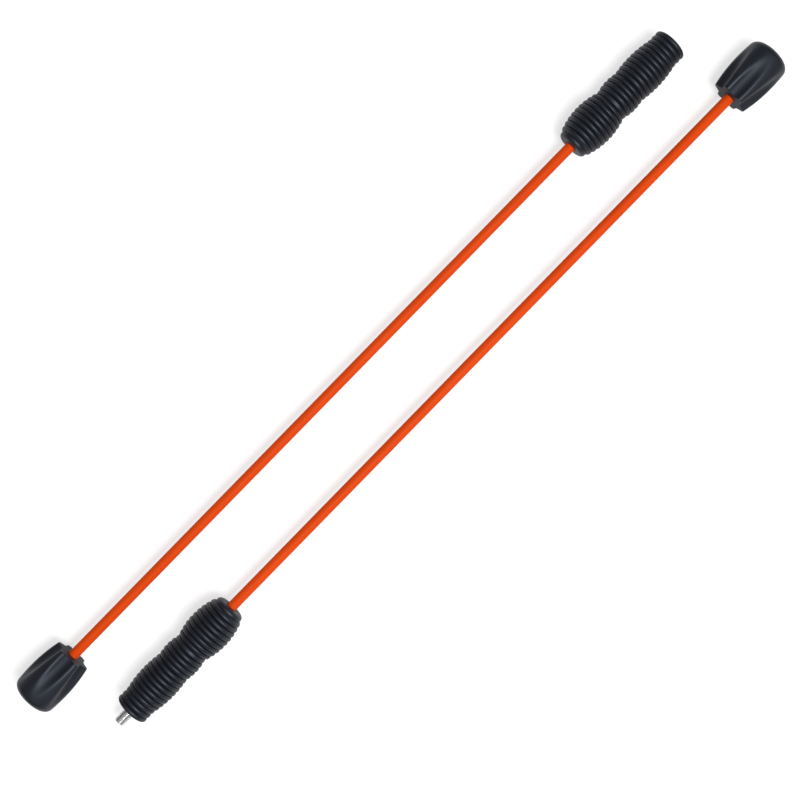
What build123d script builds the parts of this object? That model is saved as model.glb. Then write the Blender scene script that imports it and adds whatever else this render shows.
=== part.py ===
"""Two-piece flexible training stick: two weighted rods whose grips screw together end to end.

The halves lie side by side on a level surface and point opposite ways. X runs along the sticks, Z is
up, and the origin is midway between the halves on that surface. Along each half, distances are
counted from the closed face of its end weight towards the free end of its grip. Millimetres.
"""

from build123d import *

import os
from math import atan2, degrees, hypot, sqrt

# Layout of the two halves
HALF_LENGTH = 800.0
END_REACH = 427.2  # from the middle to the closed face of each end weight
AXIS_SPACING = 69.4

# Rod: glass-fibre core in a plastic sleeve
CORE_RADIUS = 4.0
SLEEVE_RADIUS = 4.65
CLEARANCE = 0.02  # radial and end play of pieces that are pushed into each other

# Rubber cover of the end weight
COVER_LENGTH = 53.2
COVER_WIDEST_AT = 22.4
COVER_WIDEST_RADIUS = 20.5
COVER_RIM_RADIUS = 17.0
COVER_DOME_DEPTH = 1.2
COVER_SHOULDER_RADIUS = 19.2
COVER_CORNER_RADIUS = 5.0
COVER_RIM_EDGE = 0.6
FLUTE_COUNT = 6
FLUTE_START = 14.5
FLUTE_TOOL_RADIUS = 8.0
FLUTE_FLOOR_AT_RIM = 13.0
FLUTE_OVERRUN = 1.3  # how much longer the flute cutter is than a flute

# Steel slug inside the cover
WEIGHT_START = 10.0
WEIGHT_END = 45.0
WEIGHT_RADIUS = 11.0
WEIGHT_EDGE = 1.0
CORE_START = 16.5
CORE_CHAMFER = 0.5
SLEEVE_START = 38.5

# Ribbed rubber grip: three swellings given as (distance from the rod-side face, radius, arc radius)
RIB_COUNT = 26
RIB_PITCH = 4.84
RIB_DEPTH = 2.0
SWELLINGS = ((28.0, 20.05, 64.0), (62.5, 18.05, 40.0), (91.0, 18.5, 100.0))
GRIP_COLLAR_RADIUS = 15.85
NOSE_FACE_RADIUS = 10.6

# Inside the grip, distances from its rod-side face
TUBE_OUTER_RADIUS = 11.0
TUBE_INNER_RADIUS = 9.0
TUBE_START = 10.0
BUSH_END = 60.0
SLEEVE_DEPTH = 22.0
CORE_DEPTH = 58.0
ROD_PIN_AT = 42.0
TUBE_CHAMFER = 0.4

# Spring pins
PIN_RADIUS = 1.5
PIN_BORE = 0.9
PIN_SLOT = 0.6
WEIGHT_PIN_AT = 26.0
PIN_RECESS = 0.3  # how far each pin end stays below the surface that it is driven into

# Screw joint between the halves: M10 x 1.5
THREAD_RADIUS = 5.0
TAPPED_RADIUS = 4.25
TAPPED_DEPTH = 16.0
STUD_REACH = 15.0
STUD_SHANK_RADIUS = 6.0
STUD_SHANK_DEPTH = 26.0
STUD_TIP_CHAMFER = 0.8
FLANGE_THICKNESS = 3.0
INSERT_DEPTH = 34.0
MOUTH_CHAMFER = 0.9
FLANGE_CHAMFER = 0.6
LOCK_PIN_DEPTH = 16.0

GRIP_LENGTH = RIB_COUNT * RIB_PITCH
GRIP_START = HALF_LENGTH - GRIP_LENGTH
UP = Vector(0, 0, 1)
INWARD = (Align.CENTER, Align.CENTER, Align.MAX)
OUTWARD = (Align.CENTER, Align.CENTER, Align.MIN)


def cover_radius(distance):
    """Radius of the cover's barrel, without its flutes, at a distance from the closed face."""
    if distance < COVER_WIDEST_AT:
        end, edge = COVER_DOME_DEPTH, COVER_SHOULDER_RADIUS
    else:
        end, edge = COVER_LENGTH, COVER_RIM_RADIUS
    drop = COVER_WIDEST_RADIUS - edge
    arc = ((end - COVER_WIDEST_AT) ** 2 + drop**2) / (2 * drop)
    return COVER_WIDEST_RADIUS - arc + sqrt(arc**2 - (distance - COVER_WIDEST_AT) ** 2)


# A flute lies straight down, so the cover touches the surface where that flute begins
AXIS_HEIGHT = cover_radius(FLUTE_START)


def crest_radius(distance):
    """Radius of the grip's rib crests at a distance from its rod-side face."""
    radii = [GRIP_COLLAR_RADIUS]
    for middle, radius, arc in SWELLINGS:
        if abs(distance - middle) < arc:
            radii.append(radius - arc + sqrt(arc**2 - (distance - middle) ** 2))
    return max(radii)


class Half:
    """Where one half lies: its axis, planes along it, planes square to it and planes across it."""

    def __init__(self, name, direction):
        self.name = name
        self.start = Vector(-direction * END_REACH, direction * AXIS_SPACING / 2, AXIS_HEIGHT)
        self.along = Vector(direction, 0, 0)
        self.axis = Axis(self.start, self.along)

    def point(self, distance):
        return self.start + self.along * distance

    def profile(self, distance=0.0):
        """Plane through the axis, with X along the half from a given distance and Y straight up."""
        return Plane(self.point(distance), x_dir=self.along, z_dir=self.along.cross(UP))

    def section(self, distance):
        """Plane square to the axis that faces the free end of the grip, with its X straight up."""
        return Plane(self.point(distance), x_dir=UP, z_dir=self.along)

    def across(self, distance):
        """Level plane through the axis, for pins and holes that cross it upright."""
        return Plane(self.point(distance), x_dir=self.along, z_dir=UP)


def save(piece, name):
    piece.part.label = name
    export_step(piece.part, f"parts/{name}.step")


def ring_section(start, end, inner, outer):
    """Half section of a ring between two distances, drawn in the open sketch."""
    with Locations((start, inner)):
        Rectangle(end - start, outer - inner, align=(Align.MIN, Align.MIN))


def cross_hole(half, distance):
    """Upright hole for a spring pin, cut through the open part."""
    with BuildSketch(half.across(distance)) as hole:
        Circle(PIN_RADIUS + CLEARANCE)
    extrude(hole.sketch, amount=2 * TUBE_OUTER_RADIUS, both=True, mode=Mode.SUBTRACT)


def spring_pin(half, distance, length, name):
    """Slotted spring pin that stands upright across the axis."""
    with BuildPart() as pin:
        with BuildSketch(half.across(distance)):
            Circle(PIN_RADIUS)
            Circle(PIN_BORE, mode=Mode.SUBTRACT)
            Rectangle(2 * PIN_RADIUS, PIN_SLOT, align=(Align.MIN, Align.CENTER), mode=Mode.SUBTRACT)
        extrude(amount=length / 2, both=True)
    save(pin, name)


def end_cover(half):
    """Barrel-shaped rubber cover, with flutes that open towards the rod and a pocket for the slug."""
    pocket = WEIGHT_RADIUS + CLEARANCE
    hole = SLEEVE_RADIUS + 2 * CLEARANCE
    shoulder = (COVER_DOME_DEPTH, COVER_SHOULDER_RADIUS)
    widest = (COVER_WIDEST_AT, COVER_WIDEST_RADIUS)
    rim = (COVER_LENGTH, COVER_RIM_RADIUS)
    flute_start_radius = cover_radius(FLUTE_START)
    flute_run = COVER_LENGTH - FLUTE_START
    flute_drop = flute_start_radius - FLUTE_FLOOR_AT_RIM
    with BuildPart(half.section(FLUTE_START)) as cover:
        with BuildSketch(half.profile()) as outline:
            with BuildLine():
                ThreePointArc((0, 0), (COVER_DOME_DEPTH / 4, COVER_SHOULDER_RADIUS / 2), shoulder)
                TangentArc(widest, shoulder, tangent=(-1, 0))
                TangentArc(widest, rim, tangent=(1, 0))
                Polyline(
                    rim,
                    (COVER_LENGTH, hole),
                    (WEIGHT_END + CLEARANCE, hole),
                    (WEIGHT_END + CLEARANCE, pocket),
                    (WEIGHT_START - CLEARANCE, pocket),
                    (WEIGHT_START - CLEARANCE, 0),
                    (0, 0),
                )
            make_face()
            fillet(outline.vertices().sort_by_distance(shoulder)[0], COVER_CORNER_RADIUS)
            fillet(outline.vertices().sort_by_distance(rim)[0], COVER_RIM_EDGE)
        revolve(axis=half.axis)
        with PolarLocations(flute_start_radius, FLUTE_COUNT):
            Cylinder(
                FLUTE_TOOL_RADIUS,
                FLUTE_OVERRUN * hypot(flute_run, flute_drop),
                rotation=(0, -degrees(atan2(flute_drop, flute_run)), 0),
                align=(Align.MIN, Align.CENTER, Align.MIN),
                mode=Mode.SUBTRACT,
            )
    save(cover, f"{half.name}_end_cover")


def end_weight(half):
    """Steel slug with a stepped blind hole for the sleeved rod, and a cross hole for its pin."""
    with BuildPart() as weight:
        with BuildSketch(half.section(WEIGHT_START)):
            Circle(WEIGHT_RADIUS)
        extrude(amount=WEIGHT_END - WEIGHT_START)
        chamfer(weight.edges().filter_by(GeomType.CIRCLE), WEIGHT_EDGE)
        with BuildSketch(half.profile()):
            ring_section(CORE_START - CLEARANCE, WEIGHT_END, 0, CORE_RADIUS + CLEARANCE)
            ring_section(SLEEVE_START - CLEARANCE, WEIGHT_END, 0, SLEEVE_RADIUS + CLEARANCE)
        revolve(axis=half.axis, mode=Mode.SUBTRACT)
        cross_hole(half, WEIGHT_PIN_AT)
    save(weight, f"{half.name}_end_weight")


def rod_core(half):
    """Glass-fibre rod from inside the slug to inside the handle, drilled for both of its pins."""
    with BuildPart() as core:
        with BuildSketch(half.section(CORE_START)):
            Circle(CORE_RADIUS)
        extrude(amount=GRIP_START + CORE_DEPTH - CORE_START)
        chamfer(core.edges().filter_by(GeomType.CIRCLE), CORE_CHAMFER)
        cross_hole(half, WEIGHT_PIN_AT)
        cross_hole(half, GRIP_START + ROD_PIN_AT)
    save(core, f"{half.name}_rod_core")


def rod_sleeve(half):
    """Coloured plastic sleeve that covers the rod between the slug and the bush."""
    with BuildPart() as sleeve:
        with BuildSketch(half.section(SLEEVE_START)):
            Circle(SLEEVE_RADIUS)
            Circle(CORE_RADIUS + CLEARANCE, mode=Mode.SUBTRACT)
        extrude(amount=GRIP_START + SLEEVE_DEPTH - SLEEVE_START)
    save(sleeve, f"{half.name}_rod_sleeve")


def rod_bush(half):
    """Bush that centres the rod in the handle tube, stepped for the sleeve's end."""
    with BuildPart() as bush:
        with BuildSketch(half.profile(GRIP_START)):
            ring_section(
                TUBE_START, BUSH_END, CORE_RADIUS + CLEARANCE, TUBE_INNER_RADIUS - CLEARANCE
            )
            with Locations((TUBE_START, 0)):
                Rectangle(
                    SLEEVE_DEPTH + CLEARANCE - TUBE_START,
                    SLEEVE_RADIUS + CLEARANCE,
                    align=(Align.MIN, Align.MIN),
                    mode=Mode.SUBTRACT,
                )
        revolve(axis=half.axis)
        cross_hole(half, GRIP_START + ROD_PIN_AT)
    save(bush, f"{half.name}_rod_bush")


def handle_tube(half):
    """Plain tube that stiffens the grip and joins the bush to the metal end."""
    with BuildPart() as tube:
        with BuildSketch(half.section(GRIP_START + TUBE_START)):
            Circle(TUBE_OUTER_RADIUS)
            Circle(TUBE_INNER_RADIUS, mode=Mode.SUBTRACT)
        extrude(amount=GRIP_LENGTH - FLANGE_THICKNESS - CLEARANCE - TUBE_START)
        chamfer(tube.edges().filter_by(GeomType.CIRCLE), TUBE_CHAMFER)
    save(tube, f"{half.name}_handle_tube")


def grip(half):
    """Rubber grip with ring-shaped ribs that follow three swellings, and a smooth nose."""
    hole = SLEEVE_RADIUS + 2 * CLEARANCE
    bore = TUBE_OUTER_RADIUS + CLEARANCE
    troughs = [
        (rib * RIB_PITCH, crest_radius(rib * RIB_PITCH) - RIB_DEPTH)
        for rib in range(1, RIB_COUNT + 1)
    ]
    with BuildPart() as rubber:
        with BuildSketch(half.profile(GRIP_START)):
            with BuildLine():
                TangentArc((0, NOSE_FACE_RADIUS), troughs[0], tangent=(0, 1))
                for this, following in zip(troughs, troughs[1:]):
                    middle = (this[0] + following[0]) / 2
                    ThreePointArc(this, (middle, crest_radius(middle)), following)
                Polyline(
                    troughs[-1],
                    (GRIP_LENGTH, bore),
                    (TUBE_START - CLEARANCE, bore),
                    (TUBE_START - CLEARANCE, hole),
                    (0, hole),
                    (0, NOSE_FACE_RADIUS),
                )
            make_face()
        revolve(axis=half.axis)
    save(rubber, f"{half.name}_grip")


def thread_socket(half):
    """Flanged steel insert with the female thread, drawn as its tapping hole."""
    with BuildPart(half.section(HALF_LENGTH)) as socket:
        Cylinder(TUBE_OUTER_RADIUS, FLANGE_THICKNESS, align=INWARD)
        chamfer(socket.edges().filter_by(GeomType.CIRCLE), FLANGE_CHAMFER)
        Cylinder(TUBE_INNER_RADIUS - CLEARANCE, INSERT_DEPTH, align=INWARD)
        CounterSinkHole(TAPPED_RADIUS, TAPPED_RADIUS + MOUTH_CHAMFER, TAPPED_DEPTH, 90)
    save(socket, "thread_socket")


def stud_plug(half):
    """Flanged steel plug with a blind hole for the stud's shank and a cross hole for its lock pin."""
    with BuildPart(half.section(HALF_LENGTH)) as plug:
        Cylinder(TUBE_OUTER_RADIUS, FLANGE_THICKNESS, align=INWARD)
        chamfer(plug.edges().filter_by(GeomType.CIRCLE), FLANGE_CHAMFER)
        Cylinder(TUBE_INNER_RADIUS - CLEARANCE, INSERT_DEPTH, align=INWARD)
        Hole(STUD_SHANK_RADIUS + CLEARANCE, STUD_SHANK_DEPTH + CLEARANCE)
        cross_hole(half, HALF_LENGTH - LOCK_PIN_DEPTH)
    save(plug, "stud_plug")


def threaded_stud(half):
    """Steel stud: a thick shank in the plug and the thread, drawn as its outer cylinder."""
    with BuildPart(half.section(HALF_LENGTH)) as stud:
        Cylinder(STUD_SHANK_RADIUS, STUD_SHANK_DEPTH, align=INWARD)
        Cylinder(THREAD_RADIUS, STUD_REACH, align=OUTWARD)
        chamfer(stud.edges().sort_by(half.axis)[-1], STUD_TIP_CHAMFER)
        cross_hole(half, HALF_LENGTH - LOCK_PIN_DEPTH)
    save(stud, "threaded_stud")


os.makedirs("parts", exist_ok=True)
socket_half = Half("socket_half", 1)
stud_half = Half("stud_half", -1)
bush_pin_length = 2 * (TUBE_INNER_RADIUS - CLEARANCE - PIN_RECESS)
weight_pin_length = 2 * (WEIGHT_RADIUS - PIN_RECESS)
for each in (socket_half, stud_half):
    end_cover(each)
    end_weight(each)
    spring_pin(each, WEIGHT_PIN_AT, weight_pin_length, f"{each.name}_weight_pin")
    rod_core(each)
    rod_sleeve(each)
    rod_bush(each)
    spring_pin(each, GRIP_START + ROD_PIN_AT, bush_pin_length, f"{each.name}_rod_pin")
    handle_tube(each)
    grip(each)
thread_socket(socket_half)
stud_plug(stud_half)
threaded_stud(stud_half)
spring_pin(stud_half, HALF_LENGTH - LOCK_PIN_DEPTH, bush_pin_length, "stud_lock_pin")
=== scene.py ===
"""Looks of the two-piece flexible training stick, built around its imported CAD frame. Metres.

Each half is described by distances along it, counted from the closed face of its end weight, and
its grip by distances from the face that the rod enters.
"""

from math import atan, cos, radians, sin

import bmesh
import bpy
import numpy as np
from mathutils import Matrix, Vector


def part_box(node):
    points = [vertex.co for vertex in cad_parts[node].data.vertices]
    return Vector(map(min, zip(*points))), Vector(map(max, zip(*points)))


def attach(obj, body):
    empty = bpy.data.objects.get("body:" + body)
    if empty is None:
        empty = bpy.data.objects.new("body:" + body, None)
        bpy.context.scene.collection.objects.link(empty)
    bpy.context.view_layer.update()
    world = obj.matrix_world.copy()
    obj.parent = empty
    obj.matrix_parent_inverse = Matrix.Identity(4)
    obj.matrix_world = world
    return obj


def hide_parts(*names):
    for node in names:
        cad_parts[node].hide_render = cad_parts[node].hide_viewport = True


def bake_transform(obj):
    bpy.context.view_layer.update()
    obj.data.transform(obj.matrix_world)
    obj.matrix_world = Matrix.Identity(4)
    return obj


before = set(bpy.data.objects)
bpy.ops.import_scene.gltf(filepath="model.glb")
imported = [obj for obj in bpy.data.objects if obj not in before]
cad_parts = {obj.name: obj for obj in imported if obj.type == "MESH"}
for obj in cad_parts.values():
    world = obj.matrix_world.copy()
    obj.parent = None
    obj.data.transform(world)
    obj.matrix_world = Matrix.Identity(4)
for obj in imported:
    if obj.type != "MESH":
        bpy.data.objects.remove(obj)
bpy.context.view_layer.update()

MM = 0.001
SHARP_ANGLE = radians(42)
WELD, CORE_WELD = 1e-7, 1e-6  # points nearer than this become one
EDGE_STEPS = 4  # steps round the small rounded edge of a hole

# Rubber cover of the end weight
BARREL_WIDEST_AT = 22.4 * MM
BARREL_WIDEST = 20.5 * MM
BARREL_SHOULDER = 19.2 * MM
BARREL_RIM = 17.0 * MM
DOME_DEPTH = 1.2 * MM
DOME_CORNER = 5.0 * MM
RIM_EDGE = 0.9 * MM
HOLE_EDGE = 0.6 * MM
FLUTE_COUNT = 6
FLUTE_START = 14.5 * MM
FLUTE_FLOOR_AT_RIM = 13.0 * MM
FLUTE_TOOL = 8.0 * MM
FLUTE_SOFTNESS = 2.2 * MM
POCKET_RADIUS = 11.02 * MM
POCKET_START, POCKET_END = 9.98 * MM, 45.02 * MM
DOME_ROWS = 9
CORNER_STEPS = 14
BARREL_ROWS = 112
RIM_EDGE_STEPS = 6
RIM_ROWS = 8
COVER_HOLE_ROWS = 5
COVER_SEGMENTS = 240
BISECTIONS = 40

# Ribbed rubber grip: swellings are (distance from the rod-side face, crest radius, arc radius)
RIB_PITCH = 4.84 * MM
RIB_DEPTH = 2.0 * MM
GROOVE_FLOOR = 0.06 * MM
GROOVE_SOFTNESS = 0.2 * MM
SWELLINGS = ((28.0, 20.05, 64.0), (62.5, 18.05, 40.0), (91.0, 18.5, 100.0))
COLLAR_RADIUS = 15.85 * MM
NOSE_FACE_RADIUS = 10.6 * MM
GRIP_BORE = 11.02 * MM
GRIP_BORE_START = 9.98 * MM
# Painted shade and dullness that the grip's flat end faces get from the rubber
NOSE_FACE_SHADE, END_FACE_SHADE = 0.3, 0.5  # on the scale from a crest, 0, to a groove, 1
GRIP_HOLE_ROWS = 6
NOSE_FACE_ROWS = 7
NOSE_STEPS = 14
END_FACE_ROWS = 5
ROWS_PER_RIB = 12
GRIP_SEGMENTS = 144

# Sleeved rod
SLEEVE_RADIUS = 4.65 * MM
SLEEVE_BORE = 4.02 * MM
HOLE_RADIUS = 4.69 * MM
SLEEVE_EDGE = 0.25 * MM
SLEEVE_STEP = 2.5 * MM
SLEEVE_SEGMENTS = 64
CORE_STEP = 5.0 * MM
BEND_START, BEND_END = 0.1, 0.8  # shares of the free rod, from the grip, at which two bend points are taken

# Screw joint: M10 x 1.5
THREAD_PITCH = 1.5 * MM
THREAD_RADIUS = 5.0 * MM
THREAD_DEPTH = 0.8 * MM
THREAD_ROOT_SHARE = 0.2  # share of a turn along the root, and along its two flanks
THREAD_FLANK_SHARE = 0.6
TAPPED_CUT = 0.75 * MM
TAPPED_RADIUS = 4.25 * MM
TAPPED_DEPTH = 16.0 * MM
MOUTH_RADIUS = 5.15 * MM
FLANGE_RADIUS = 11.0 * MM
FLANGE_THICKNESS = 3.0 * MM
FLANGE_EDGE = 0.6 * MM
INSERT_RADIUS = 8.98 * MM
INSERT_DEPTH = 34.0 * MM
SHANK_RADIUS = 6.0 * MM
SHANK_EDGE = 0.3 * MM
STUD_CHAMFER = 0.8 * MM
FLANGE_ROWS = 6
THREAD_SEGMENTS = 96
ROWS_PER_TURN = 16

# Colours from one end of their variation to the other
RUBBER_TONES = (0.0036, 0.0046, 0.0066), (0.0056, 0.0068, 0.0095)
# Painted shade: the rubber's colour darkens towards this tone in grooves, flutes, the cover's rim
# face and the holes
GROOVE_SHADE_TONE = (0.0020, 0.0024, 0.0030)
ORANGE_TONES = (0.61, 0.053, 0.0020), (0.65, 0.060, 0.0028)
STREAK_TONE = (0.55, 0.043, 0.0014)
FIBRE_TONES = (0.62, 0.58, 0.42), (0.80, 0.77, 0.64)
NYLON_TONES = (0.66, 0.66, 0.62), (0.74, 0.74, 0.70)

# Camera over the floor: its foot, its height above the sticks' axes, its turn in degrees and
# the width that it sees
CAMERA_OVER = (-0.0151, -0.0135)
CAMERA_HEIGHT = 1.24
CAMERA_TURN = -45.65
CAMERA_FIELD = 0.6983

# Floor: a lit table, whose glow fades between two distances from its middle
FLOOR_SIZE = 12.0
GLOW_NEAR, GLOW_FAR = 0.62, 0.14
GLOW_FADE = (0.9, 3.5)
SURROUND_STRENGTH = 0.26

cover_low, cover_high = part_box("socket_half_end_cover")
cover_length = cover_high.x - cover_low.x


class Half:
    """Where one half lies, as the CAD nodes' boxes say."""

    def __init__(self, prefix, handle, tip, direction):
        self.prefix, self.direction = prefix, direction
        self.handle, self.tip = handle, tip
        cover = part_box(f"{prefix}_end_cover")
        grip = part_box(f"{prefix}_grip")
        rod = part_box(f"{prefix}_rod_core")
        self.y, self.z = (rod[0].y + rod[1].y) / 2, (rod[0].z + rod[1].z) / 2
        self.x = cover[0].x if direction > 0 else cover[1].x
        self.rim = cover[1].x - cover[0].x
        self.grip_length = grip[1].x - grip[0].x
        self.grip_start = self.distance(grip[0].x if direction > 0 else grip[1].x)
        self.length = self.grip_start + self.grip_length

    def distance(self, x):
        return (x - self.x) * self.direction

    def span(self, node):
        """The distances between which a CAD node lies."""
        return sorted(self.distance(corner.x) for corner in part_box(node))

    def point(self, distance):
        return Vector((self.x + self.direction * distance, self.y, self.z))


def new_object(name, mesh):
    piece = bpy.data.objects.new(name, mesh)
    bpy.context.scene.collection.objects.link(piece)
    return piece


def skin(name, half, rows, segments, closed_ring=False):
    """A closed surface round a half's axis, from rows of (distance, radius, recess).

    Each of the three is one number, or one number per point round the axis. Rows of radius 0
    become poles. recess, from 0 on a crest to 1 in a groove, stays on the points for the material,
    where the rubber paints shade by it.
    """
    count = len(rows)
    along, out, depth = (
        np.stack([np.broadcast_to(value, segments) for value in values]).astype(float)
        for values in zip(*rows)
    )
    angle = np.arange(segments) * 2 * np.pi / segments
    points = np.stack(
        [
            half.x + half.direction * along,
            half.y + out * np.sin(angle),
            half.z + out * np.cos(angle),
        ],
        axis=-1,
    ).reshape(-1, 3)
    here = np.arange(count if closed_ring else count - 1)[:, None]
    column = np.arange(segments)[None, :]
    after, beside = (here + 1) % count, (column + 1) % segments
    corners = [
        here * segments + column,
        here * segments + beside,
        after * segments + beside,
        after * segments + column,
    ]
    faces = np.stack([np.broadcast_to(c, (len(here), segments)) for c in corners], axis=-1)
    mesh = bpy.data.meshes.new(name)
    mesh.from_pydata(points.tolist(), [], faces.reshape(-1, 4).tolist())
    mesh.attributes.new("recess", "FLOAT", "POINT").data.foreach_set("value", depth.ravel())
    work = bmesh.new()
    work.from_mesh(mesh)
    bmesh.ops.remove_doubles(work, verts=work.verts, dist=WELD)
    bmesh.ops.recalc_face_normals(work, faces=work.faces)
    work.to_mesh(mesh)
    work.free()
    mesh.shade_smooth()
    mesh.set_sharp_from_angle(angle=SHARP_ANGLE)
    return new_object(name, mesh)


def arc_angles(start, end, steps):
    """Angles from start to end in degrees, both included, as radians."""
    return np.radians(np.linspace(start, end, steps + 1))


def smooth_max(a, b, softness):
    """The greater of two numbers, rounded off where they are nearly equal."""
    near = np.clip(softness - np.abs(a - b), 0, None) / softness
    return np.maximum(a, b) + near**2 * softness / 4


def barrel_radius(distance):
    """Radius of the cover's barrel, without its flutes."""
    if distance < BARREL_WIDEST_AT:
        reach, drop = BARREL_WIDEST_AT - DOME_DEPTH, BARREL_WIDEST - BARREL_SHOULDER
    else:
        reach, drop = cover_length - BARREL_WIDEST_AT, BARREL_WIDEST - BARREL_RIM
    arc = (reach**2 + drop**2) / (2 * drop)
    return BARREL_WIDEST - arc + np.sqrt(arc**2 - (distance - BARREL_WIDEST_AT) ** 2)


def fluted_radius(distance):
    """Radius of the fluted barrel all round, and how deep each point lies in a flute."""
    barrel = barrel_radius(distance)
    begin = barrel_radius(FLUTE_START)
    slope = (begin - FLUTE_FLOOR_AT_RIM) / (cover_length - FLUTE_START)
    floor = begin - slope * (distance - FLUTE_START)
    leaning = cos(atan(slope))
    turn = np.arange(COVER_SEGMENTS) * 2 * np.pi / COVER_SEGMENTS
    sector = 2 * np.pi / FLUTE_COUNT
    aside = (turn + sector / 2) % sector - sector / 2
    low = np.full(COVER_SEGMENTS, POCKET_RADIUS)
    high = np.full(COVER_SEGMENTS, BARREL_WIDEST)
    for _ in range(BISECTIONS):
        middle = (low + high) / 2
        up = (middle * np.cos(aside) - floor) * leaning - FLUTE_TOOL
        inside_cutter = FLUTE_TOOL - np.hypot(middle * np.sin(aside), up)
        outside = smooth_max(middle - barrel, inside_cutter, FLUTE_SOFTNESS) > 0
        high, low = np.where(outside, middle, high), np.where(outside, low, middle)
    return low, np.clip((barrel - low) / (BARREL_RIM - FLUTE_FLOOR_AT_RIM), 0, 1)


def end_cover(half):
    """Barrel with a domed end, flutes that open at its rod side, a flat rim face and a pocket."""
    rows = [(0.0, 0.0, 0.0)]
    flat = BARREL_SHOULDER - DOME_CORNER
    for radius in np.linspace(0, flat, DOME_ROWS)[1:-1]:
        rows.append((DOME_DEPTH * (radius / BARREL_SHOULDER) ** 2, radius, 0.0))
    for angle in arc_angles(0, 90, CORNER_STEPS):
        dome = DOME_DEPTH * ((flat + DOME_CORNER * sin(angle)) / BARREL_SHOULDER) ** 2
        distance = dome + DOME_CORNER * (1 - cos(angle))
        radius = barrel_radius(distance) - DOME_CORNER * (1 - sin(angle))
        rows.append((distance, radius, 0.0))
    barrel_start, barrel_end = rows[-1][0], cover_length - RIM_EDGE
    for distance in np.linspace(barrel_start, barrel_end, BARREL_ROWS)[1:]:
        rows.append((distance, *fluted_radius(distance)))
    rim, depth = fluted_radius(barrel_end)
    for angle in arc_angles(0, 90, RIM_EDGE_STEPS)[1:]:
        distance = barrel_end + RIM_EDGE * sin(angle)
        rows.append((distance, rim - RIM_EDGE * (1 - cos(angle)), depth))
    # The rim face and the pocket carry recess 1, so the rubber paints them in full groove shade
    for share in np.linspace(0, 1, RIM_ROWS)[1:]:
        radius = (rim - RIM_EDGE) * (1 - share) + (HOLE_RADIUS + HOLE_EDGE) * share
        rows.append((cover_length, radius, 1.0))
    for angle in arc_angles(0, 90, EDGE_STEPS)[1:]:
        distance = cover_length - HOLE_EDGE * (1 - cos(angle))
        rows.append((distance, HOLE_RADIUS + HOLE_EDGE * (1 - sin(angle)), 1.0))
    for distance in np.linspace(cover_length - HOLE_EDGE, POCKET_END, COVER_HOLE_ROWS)[1:]:
        rows.append((distance, HOLE_RADIUS, 1.0))
    rows.append((POCKET_END, POCKET_RADIUS, 1.0))
    rows.append((POCKET_START, POCKET_RADIUS, 1.0))
    rows.append((POCKET_START, 0.0, 1.0))
    return skin(f"{half.prefix}_weight_cover", half, rows, COVER_SEGMENTS)


def crest_radius(distance):
    """Radius of the grip's rib crests at a distance from its rod-side face."""
    radii = [COLLAR_RADIUS]
    for middle, radius, arc in SWELLINGS:
        aside = distance - middle * MM
        if abs(aside) < arc * MM:
            radii.append((radius - arc) * MM + np.sqrt((arc * MM) ** 2 - aside**2))
    return max(radii)


def rib_height(aside):
    """Height of a rib above its grooves, at a distance from the rib's middle."""
    half_pitch = RIB_PITCH / 2
    arc = (half_pitch**2 + RIB_DEPTH**2) / (2 * RIB_DEPTH)
    height = np.sqrt(arc**2 - aside**2) - (arc - RIB_DEPTH)
    return smooth_max(height, GROOVE_FLOOR, GROOVE_SOFTNESS)


def grip(half):
    """Ribbed rubber with a smooth nose, a hole for the rod and a bore for the handle tube."""
    rows = []
    for distance in np.linspace(GRIP_BORE_START, HOLE_EDGE, GRIP_HOLE_ROWS):
        rows.append((distance, HOLE_RADIUS, 1.0))
    for angle in arc_angles(0, 90, EDGE_STEPS)[1:]:
        distance = HOLE_EDGE * (1 - sin(angle))
        rows.append((distance, HOLE_RADIUS + HOLE_EDGE * (1 - cos(angle)), 1.0))
    for radius in np.linspace(HOLE_RADIUS + HOLE_EDGE, NOSE_FACE_RADIUS, NOSE_FACE_ROWS)[1:]:
        rows.append((0.0, radius, NOSE_FACE_SHADE))
    first_groove = crest_radius(RIB_PITCH) - RIB_DEPTH
    rise = first_groove - NOSE_FACE_RADIUS
    nose_arc = (RIB_PITCH**2 + rise**2) / (2 * RIB_PITCH)
    nose_end = np.degrees(np.arctan2(rise, RIB_PITCH - nose_arc))
    for angle in arc_angles(180, nose_end, NOSE_STEPS)[1:]:
        radius = NOSE_FACE_RADIUS + nose_arc * sin(angle)
        rows.append((nose_arc * (1 + cos(angle)), radius, 0.0))
    ribs = round(half.grip_length / RIB_PITCH)
    for rib in range(1, ribs):
        for angle in arc_angles(-90, 90, ROWS_PER_RIB)[1:]:
            aside = RIB_PITCH / 2 * sin(angle)
            distance = (rib + 0.5) * RIB_PITCH + aside
            height = rib_height(aside)
            radius = crest_radius(distance) - RIB_DEPTH + height
            rows.append((distance, radius, 1 - height / RIB_DEPTH))
    end_radius = rows[-1][1]
    rows[-1] = (half.grip_length, end_radius, END_FACE_SHADE)
    for radius in np.linspace(end_radius, GRIP_BORE, END_FACE_ROWS)[1:]:
        rows.append((half.grip_length, radius, END_FACE_SHADE))
    rows.append((GRIP_BORE_START, GRIP_BORE, 1.0))
    rows = [(half.grip_start + distance, *rest) for distance, *rest in rows]
    return skin(f"{half.prefix}_ribbed_grip", half, rows, GRIP_SEGMENTS, closed_ring=True)


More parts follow.
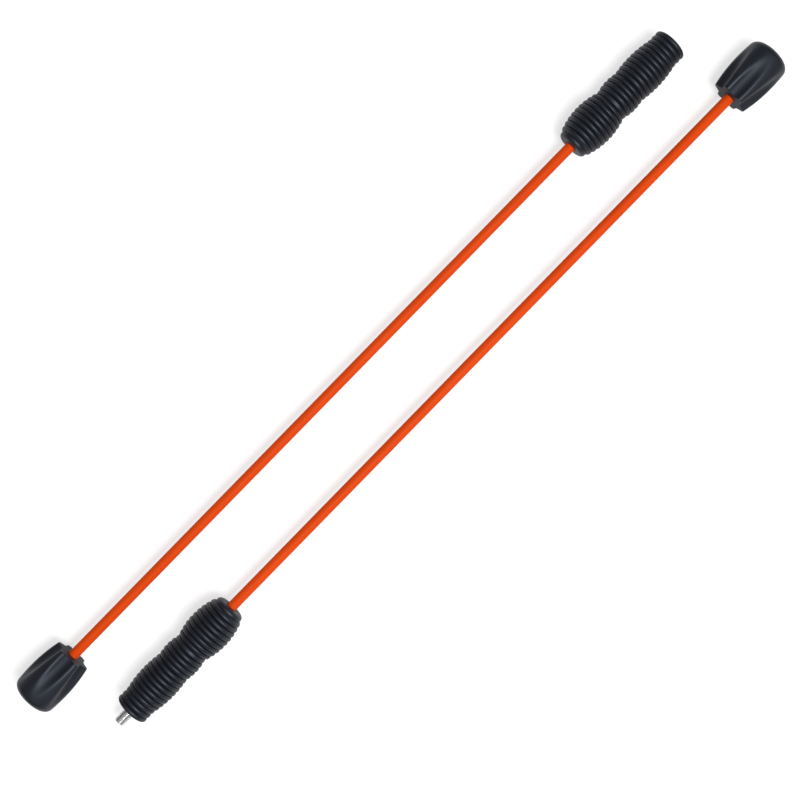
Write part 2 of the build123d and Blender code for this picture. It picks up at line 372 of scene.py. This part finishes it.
def sleeve(half):
    """Thin plastic tube on the rod, in rings short enough to bend."""
    start, end = half.span(f"{half.prefix}_rod_sleeve")
    along = np.linspace(start, end, round((end - start) / SLEEVE_STEP))
    end_radius = SLEEVE_RADIUS - SLEEVE_EDGE
    rows = [(start, end_radius, 0.0), (start + SLEEVE_EDGE, SLEEVE_RADIUS, 0.0)]
    rows += [(distance, SLEEVE_RADIUS, 0.0) for distance in along[1:-1]]
    rows += [(end - SLEEVE_EDGE, SLEEVE_RADIUS, 0.0), (end, end_radius, 0.0)]
    rows += [(distance, SLEEVE_BORE, 0.0) for distance in along[::-1]]
    return skin(f"{half.prefix}_sleeve", half, rows, SLEEVE_SEGMENTS, closed_ring=True)


def core(half):
    """The rod's glass-fibre core with its pin holes, cut into lengths short enough to bend."""
    node = f"{half.prefix}_rod_core"
    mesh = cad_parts[node].data.copy()
    low, high = (corner.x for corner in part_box(node))
    work = bmesh.new()
    work.from_mesh(mesh)
    bmesh.ops.remove_doubles(work, verts=work.verts, dist=CORE_WELD)
    for x in np.arange(low + CORE_STEP, high, CORE_STEP):
        everything = work.verts[:] + work.edges[:] + work.faces[:]
        bmesh.ops.bisect_plane(work, geom=everything, plane_co=(x, 0, 0), plane_no=(1, 0, 0))
    work.to_mesh(mesh)
    work.free()
    mesh.shade_smooth()
    mesh.set_sharp_from_angle(angle=SHARP_ANGLE)
    return new_object(f"{half.prefix}_fibre_core", mesh)


def thread_depth(half, distance):
    """Depth of a right-hand thread's groove all round, from 0 on the crest to 1 at the root."""
    turn = np.arange(THREAD_SEGMENTS) / THREAD_SEGMENTS
    phase = (distance / THREAD_PITCH + half.direction * turn) % 1
    from_root = np.abs(phase - 0.5) * 2
    depth = (THREAD_ROOT_SHARE + THREAD_FLANK_SHARE - from_root) / THREAD_FLANK_SHARE
    return np.clip(depth, 0, 1)


def stud(half):
    """Stud with a plain shank in the plug and a cut thread that ends in a chamfer."""
    start, end = half.span("threaded_stud")
    rows = [
        (start, 0.0, 0.0),
        (start, SHANK_RADIUS - SHANK_EDGE, 0.0),
        (start + SHANK_EDGE, SHANK_RADIUS, 0.0),
        (half.length - SHANK_EDGE, SHANK_RADIUS, 0.0),
        (half.length, SHANK_RADIUS - SHANK_EDGE, 0.0),
    ]
    turns = (end - half.length) / THREAD_PITCH
    for distance in np.linspace(half.length, end, round(turns * ROWS_PER_TURN)):
        depth = thread_depth(half, distance)
        chamfer = THREAD_RADIUS - max(0.0, distance - (end - STUD_CHAMFER))
        cut = THREAD_RADIUS - THREAD_DEPTH * depth
        rows.append((distance, np.minimum(cut, chamfer), depth))
    rows.append((end, (THREAD_RADIUS - STUD_CHAMFER) / 2, 0.0))
    rows.append((end, 0.0, 0.0))
    return skin("stud_thread", half, rows, THREAD_SEGMENTS)


def socket_insert(half):
    """Flanged insert with an internal thread and a countersunk mouth."""
    floor = half.length - TAPPED_DEPTH
    rows = [(floor, 0.0, 1.0), (floor, TAPPED_RADIUS, 1.0)]
    threaded = TAPPED_DEPTH - THREAD_PITCH
    count = round(threaded / THREAD_PITCH * ROWS_PER_TURN)
    for distance in np.linspace(half.length - threaded, half.length, count):
        depth = thread_depth(half, distance)
        mouth = MOUTH_RADIUS - (half.length - distance)
        cut = TAPPED_RADIUS + TAPPED_CUT * (1 - depth)
        rows.append((distance, np.maximum(cut, mouth), depth))
    for radius in np.linspace(MOUTH_RADIUS, FLANGE_RADIUS - FLANGE_EDGE, FLANGE_ROWS)[1:]:
        rows.append((half.length, radius, 0.0))
    back = half.length - FLANGE_THICKNESS
    rows += [
        (half.length - FLANGE_EDGE, FLANGE_RADIUS, 0.0),
        (back + FLANGE_EDGE, FLANGE_RADIUS, 0.0),
        (back, FLANGE_RADIUS - FLANGE_EDGE, 0.0),
        (back, INSERT_RADIUS, 0.0),
        (half.length - INSERT_DEPTH + FLANGE_EDGE, INSERT_RADIUS, 0.0),
        (half.length - INSERT_DEPTH, INSERT_RADIUS - FLANGE_EDGE, 0.0),
        (half.length - INSERT_DEPTH, 0.0, 0.0),
    ]
    return skin("socket_insert", half, rows, THREAD_SEGMENTS)


class Shader:
    """A material's nodes round one Principled shader, with the steps that the materials share."""

    def __init__(self, name, **inputs):
        self.material = bpy.data.materials.new(name)
        self.material.use_nodes = True
        self.tree = self.material.node_tree
        self.surface = self.tree.nodes["Principled BSDF"]
        self.place = self.tree.nodes.new("ShaderNodeTexCoord").outputs["Object"]
        for socket, value in inputs.items():
            self.surface.inputs[socket.replace("_", " ")].default_value = value

    def drive(self, socket, source):
        self.tree.links.new(source, self.surface.inputs[socket])

    def scaled(self, scale):
        """Object coordinates times a number along each axis."""
        node = self.tree.nodes.new("ShaderNodeMapping")
        node.vector_type = "POINT"
        node.inputs["Scale"].default_value = scale
        self.tree.links.new(self.place, node.inputs["Vector"])
        return node.outputs["Vector"]

    def noise(self, scale, detail, vector=None):
        node = self.tree.nodes.new("ShaderNodeTexNoise")
        node.inputs["Scale"].default_value = scale
        node.inputs["Detail"].default_value = detail
        self.tree.links.new(vector or self.place, node.inputs["Vector"])
        return node.outputs["Fac"]

    def spread(self, source, low, high, from_low=0.3, from_high=0.7):
        """A number moved from one range to another."""
        node = self.tree.nodes.new("ShaderNodeMapRange")
        node.inputs["From Min"].default_value = from_low
        node.inputs["From Max"].default_value = from_high
        node.inputs["To Min"].default_value = low
        node.inputs["To Max"].default_value = high
        self.tree.links.new(source, node.inputs["Value"])
        return node.outputs["Result"]

    def add(self, first, second):
        node = self.tree.nodes.new("ShaderNodeMath")
        node.operation = "ADD"
        self.tree.links.new(first, node.inputs[0])
        self.tree.links.new(second, node.inputs[1])
        return node.outputs[0]

    def from_middle(self):
        """Distance from the object's origin."""
        node = self.tree.nodes.new("ShaderNodeVectorMath")
        node.operation = "LENGTH"
        self.tree.links.new(self.place, node.inputs[0])
        return node.outputs["Value"]

    def recess(self):
        """The depth that skin() left on the points."""
        node = self.tree.nodes.new("ShaderNodeAttribute")
        node.attribute_name = "recess"
        return node.outputs["Fac"]

    def colours(self, amount, first, second):
        """A colour between two, each a socket or three numbers."""
        node = self.tree.nodes.new("ShaderNodeMix")
        node.data_type = "RGBA"
        self.tree.links.new(amount, node.inputs["Factor"])
        for socket, colour in zip(("A", "B"), (first, second)):
            target = next(i for i in node.inputs if i.name == socket and i.type == "RGBA")
            if isinstance(colour, bpy.types.NodeSocket):
                self.tree.links.new(colour, target)
            else:
                target.default_value = (*colour, 1)
        return next(o for o in node.outputs if o.type == "RGBA")

    def bump(self, height, distance, strength, under=None):
        node = self.tree.nodes.new("ShaderNodeBump")
        node.inputs["Distance"].default_value = distance
        node.inputs["Strength"].default_value = strength
        self.tree.links.new(height, node.inputs["Height"])
        if under is not None:
            self.tree.links.new(under, node.inputs["Normal"])
        self.drive("Normal", node.outputs["Normal"])
        return node.outputs["Normal"]


def rubber_material():
    """Dark blue-black moulded rubber: satin where hands polish it, duller in grooves, with painted
    shade darkening grooves and flat faces.
    """
    look = Shader("satin_rubber", Specular_IOR_Level=0.45, Specular_Tint=(0.72, 0.8, 1.0, 1.0))
    broad = look.noise(55, detail=4)
    grain = look.noise(1500, detail=3)
    base = look.colours(look.spread(broad, 0, 1), *RUBBER_TONES)
    # Painted shade: the deeper a point lies, the nearer its colour comes to the groove shade tone
    look.drive("Base Color", look.colours(look.recess(), base, GROOVE_SHADE_TONE))
    worn = look.spread(broad, 0.43, 0.51)
    dull = look.spread(look.recess(), 0.0, 0.16, from_low=0.1, from_high=0.9)
    look.drive("Roughness", look.add(worn, dull))
    coarse = look.bump(look.noise(260, detail=3), 0.00006, strength=0.35)
    look.bump(grain, 0.00002, strength=0.5, under=coarse)
    return look.material


def sleeve_material():
    """Glossy orange extruded plastic with faint lengthwise draw lines."""
    look = Shader("orange_sleeve", Specular_IOR_Level=0.06)
    streaks = look.noise(1, detail=3, vector=look.scaled((14, 1700, 1700)))
    broad = look.noise(24, detail=3)
    tone = look.colours(look.spread(broad, 0, 1), *ORANGE_TONES)
    look.drive("Base Color", look.colours(look.spread(streaks, 0, 0.35), tone, STREAK_TONE))
    look.drive("Roughness", look.spread(streaks, 0.40, 0.50))
    look.bump(streaks, 0.00002, strength=0.4)
    return look.material


def metal_material(name, colour, roughness, scratch, tarnish=0.8):
    """Bare metal with darker patches, and fine marks, scratch of them a metre along each axis."""
    look = Shader(name, Metallic=1.0)
    marks = look.noise(1, detail=4, vector=look.scaled(scratch))
    patches = look.noise(90, detail=4)
    darker = tuple(value * tarnish for value in colour)
    look.drive("Base Color", look.colours(look.spread(patches, 0, 1), darker, colour))
    low, high = roughness
    look.drive("Roughness", look.spread(marks, low, high))
    look.bump(marks, 0.00001, strength=0.4)
    return look.material


def plain_material(name, tones, roughness, stretch):
    """Unpainted plastic or fibre, with stretch mottles a metre along each axis."""
    look = Shader(name, Specular_IOR_Level=0.4)
    mottle = look.noise(1, detail=4, vector=look.scaled(stretch))
    look.drive("Base Color", look.colours(look.spread(mottle, 0, 1), *tones))
    low, high = roughness
    look.drive("Roughness", look.spread(mottle, low, high))
    look.bump(mottle, 0.00002, strength=0.5)
    return look.material


def dress(piece, material):
    """Puts one material on every slot of a piece."""
    for place in piece.material_slots:
        place.material = material
    if not piece.material_slots:
        piece.data.materials.append(material)


def softbox(name, position, size, power):
    """A square light that faces the middle of the floor and is not seen itself."""
    data = bpy.data.lights.new(name, "AREA")
    data.shape, data.size, data.energy = "SQUARE", size, power
    lamp = new_object(name, data)
    lamp.location = position
    lamp.rotation_mode = "QUATERNION"
    lamp.rotation_quaternion = (-Vector(position)).to_track_quat("-Z", "Y")
    lamp.visible_camera = False


socket_half = Half("socket_half", "socket_handle", "socket_tip", 1)
stud_half = Half("stud_half", "stud_handle", "stud_tip", -1)

# Camera: straight above, turned so that the sticks run up the picture at a slant
camera_data = bpy.data.cameras.new("camera")
camera = new_object("camera", camera_data)
camera.location = (*CAMERA_OVER, socket_half.z + CAMERA_HEIGHT)
camera.rotation_euler = (0, 0, radians(CAMERA_TURN))
camera_data.lens = camera_data.sensor_width * CAMERA_HEIGHT / CAMERA_FIELD
bpy.context.scene.camera = camera

rubber = rubber_material()
orange = sleeve_material()
fibre = plain_material(
    "glass_fibre", FIBRE_TONES, roughness=(0.35, 0.55), stretch=(12, 2600, 2600)
)
nylon = plain_material("nylon", NYLON_TONES, roughness=(0.4, 0.5), stretch=(400, 400, 400))
aluminium = metal_material(
    "drawn_aluminium",
    colour=(0.78, 0.79, 0.81),
    roughness=(0.28, 0.42),
    scratch=(20, 2200, 2200),
    tarnish=0.9,
)
turned = metal_material(
    "turned_steel", colour=(0.62, 0.62, 0.63), roughness=(0.24, 0.38), scratch=(3500, 60, 60)
)
plated = metal_material(
    "plated_steel",
    colour=(0.74, 0.74, 0.75),
    roughness=(0.24, 0.32),
    scratch=(2500, 200, 200),
    tarnish=0.93,
)
spring = metal_material(
    "spring_steel", colour=(0.50, 0.50, 0.52), roughness=(0.3, 0.45), scratch=(900, 900, 60)
)
slug = metal_material(
    "slug_steel",
    colour=(0.22, 0.22, 0.23),
    roughness=(0.45, 0.65),
    scratch=(700, 500, 500),
    tarnish=0.6,
)

for half in (socket_half, stud_half):
    cover = end_cover(half)
    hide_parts(f"{half.prefix}_end_cover")
    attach(cover, half.tip)
    dress(cover, rubber)

    handle_grip = grip(half)
    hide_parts(f"{half.prefix}_grip")
    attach(handle_grip, half.handle)
    dress(handle_grip, rubber)

    free_rod = half.grip_start - half.rim
    bend = [half.point(half.grip_start - free_rod * share) for share in (BEND_START, BEND_END)]
    for piece, node, material, slot in (
        (sleeve(half), "rod_sleeve", orange, "sleeve"),
        (core(half), "rod_core", fibre, "glass_fibre"),
    ):
        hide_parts(f"{half.prefix}_{node}")
        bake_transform(piece)
        dress(piece, material)

    for node, material in (
        ("end_weight", slug),
        ("weight_pin", spring),
        ("rod_bush", nylon),
        ("rod_pin", spring),
        ("handle_tube", aluminium),
    ):
        dress(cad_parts[f"{half.prefix}_{node}"], material)

stud_piece = stud(stud_half)
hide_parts("threaded_stud")
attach(stud_piece, stud_half.handle)
dress(stud_piece, plated)

insert = socket_insert(socket_half)
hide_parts("thread_socket")
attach(insert, socket_half.handle)
dress(insert, turned)

dress(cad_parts["stud_plug"], turned)
dress(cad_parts["stud_lock_pin"], spring)

# Floor, soft light and a dim surround
floor_mesh = bpy.data.meshes.new("floor")
reach = FLOOR_SIZE / 2
floor_mesh.from_pydata(
    [(-reach, -reach, 0), (reach, -reach, 0), (reach, reach, 0), (-reach, reach, 0)],
    [],
    [(0, 1, 2, 3)],
)
floor = new_object("floor", floor_mesh)
table = Shader(
    "lit_table",
    Base_Color=(0.45, 0.45, 0.45, 1),
    Specular_IOR_Level=0.1,
    Emission_Color=(1.0, 1.0, 1.0, 1),
)
table.drive("Roughness", table.spread(table.noise(30, detail=3), 0.85, 0.95))
fade_from, fade_to = GLOW_FADE
glow = table.spread(
    table.from_middle(), GLOW_NEAR, GLOW_FAR, from_low=fade_from, from_high=fade_to
)
table.drive("Emission Strength", glow)
floor_mesh.materials.append(table.material)

softbox("key_light", (0.0, -0.9, 2.15), size=1.0, power=50)
softbox("fill_light", (0.0, 0.2, 2.6), size=3.2, power=17)
world = bpy.data.worlds.new("surround")
world.use_nodes = True
background = world.node_tree.nodes["Background"]
background.inputs["Color"].default_value = (1.0, 1.0, 1.0, 1)
background.inputs["Strength"].default_value = SURROUND_STRENGTH
bpy.context.scene.world = world
bpy.context.scene.view_settings.view_transform = "Standard"
